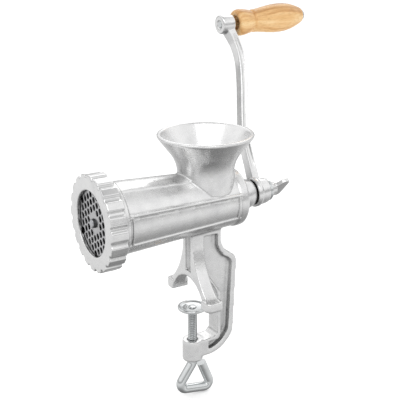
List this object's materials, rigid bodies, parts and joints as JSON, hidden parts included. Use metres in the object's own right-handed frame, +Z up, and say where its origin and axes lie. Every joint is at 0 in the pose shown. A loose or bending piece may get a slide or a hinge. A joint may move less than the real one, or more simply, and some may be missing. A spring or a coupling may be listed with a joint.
{
  "type": "hand crank meat grinder",
  "caption": "Hand crank meat grinder with a table clamp: flared hopper over a ribbed barrel, lobed ring nut, hole plate, feed screw, knife, and a crank with a turned wooden grip.",
  "frame": {"origin": "where the clamp screw axis meets the plane of the two feet, which is the top face of the table", "axes": "+Z up; the barrel lies along Y with its outlet towards -Y and the crank at the +Y end; +X is to the right for someone who looks from the outlet towards the crank"},
  "size_m": [0.1214, 0.2575, 0.3414],
  "materials": {
    "tinned_casting": "hot tinned casting, satin with a slightly rough skin",
    "steel": "ground steel",
    "plate_steel": "ground and drilled steel",
    "zinc": "bright zinc plate",
    "bronze": "sintered bronze bush",
    "fibre": "red fibre washer",
    "beech": "clear lacquered beech"
  },
  "bodies": {
    "stand": {"body_casting": "tinned_casting", "plate_key": "steel", "rear_bush": "bronze"},
    "rotor": {"auger": "tinned_casting", "auger_stud": "steel", "thrust_washer": "fibre", "knife": "steel", "crank_arm": "tinned_casting", "grip_bolt": "zinc"},
    "handle": {"grip": "beech", "grip_cap": "zinc"},
    "outlet_plate": {"hole_plate": "plate_steel"},
    "ring": {"ring_nut": "tinned_casting"},
    "washer": {"crank_washer": "zinc"},
    "wing_screw": {"wing_screw": "tinned_casting"},
    "pad": {"clamp_pad": "zinc"},
    "clamp_screw": {"clamp_screw": "zinc"}
  },
  "joints": [
    {"name": "crank_turn", "type": "hinge", "parent": "stand", "child": "rotor", "pos_m": [0, 0, 0.088], "axis": [0, 1, 0], "continuous": true},
    {"name": "grip_spin", "type": "hinge", "parent": "rotor", "child": "handle", "pos_m": [-0.06551, 0.0681, 0.22848], "axis": [-0.014, 0.9995, 0.03], "continuous": true},
    {"name": "plate_travel", "type": "slide", "parent": "stand", "child": "outlet_plate", "axis": [0, -1, 0], "range_m": [0, 0.01]},
    {"name": "ring_turn", "type": "hinge", "parent": "outlet_plate", "child": "ring", "pos_m": [0, -0.095, 0.088], "axis": [0, -1, 0], "range_deg": [0, 1201]},
    {"name": "washer_travel", "type": "slide", "parent": "rotor", "child": "washer", "axis": [0, 1, 0], "range_m": [0, 0.012]},
    {"name": "wing_turn", "type": "hinge", "parent": "washer", "child": "wing_screw", "pos_m": [0, 0.08, 0.088], "axis": [0, -1, 0], "range_deg": [-3457, 0]},
    {"name": "pad_travel", "type": "slide", "parent": "stand", "child": "pad", "axis": [0, 0, -1], "range_m": [0, 0.0275]},
    {"name": "screw_turn", "type": "hinge", "parent": "pad", "child": "clamp_screw", "pos_m": [0, 0, 0], "axis": [0, 0, -1], "range_deg": [0, 6601]}
  ],
  "couplings": [
    {"joint": "ring_turn", "follows": "plate_travel", "rad_per_m": 2094.4},
    {"joint": "wing_turn", "follows": "washer_travel", "rad_per_m": -5026.5},
    {"joint": "screw_turn", "follows": "pad_travel", "rad_per_m": 4188.8}
  ]
}
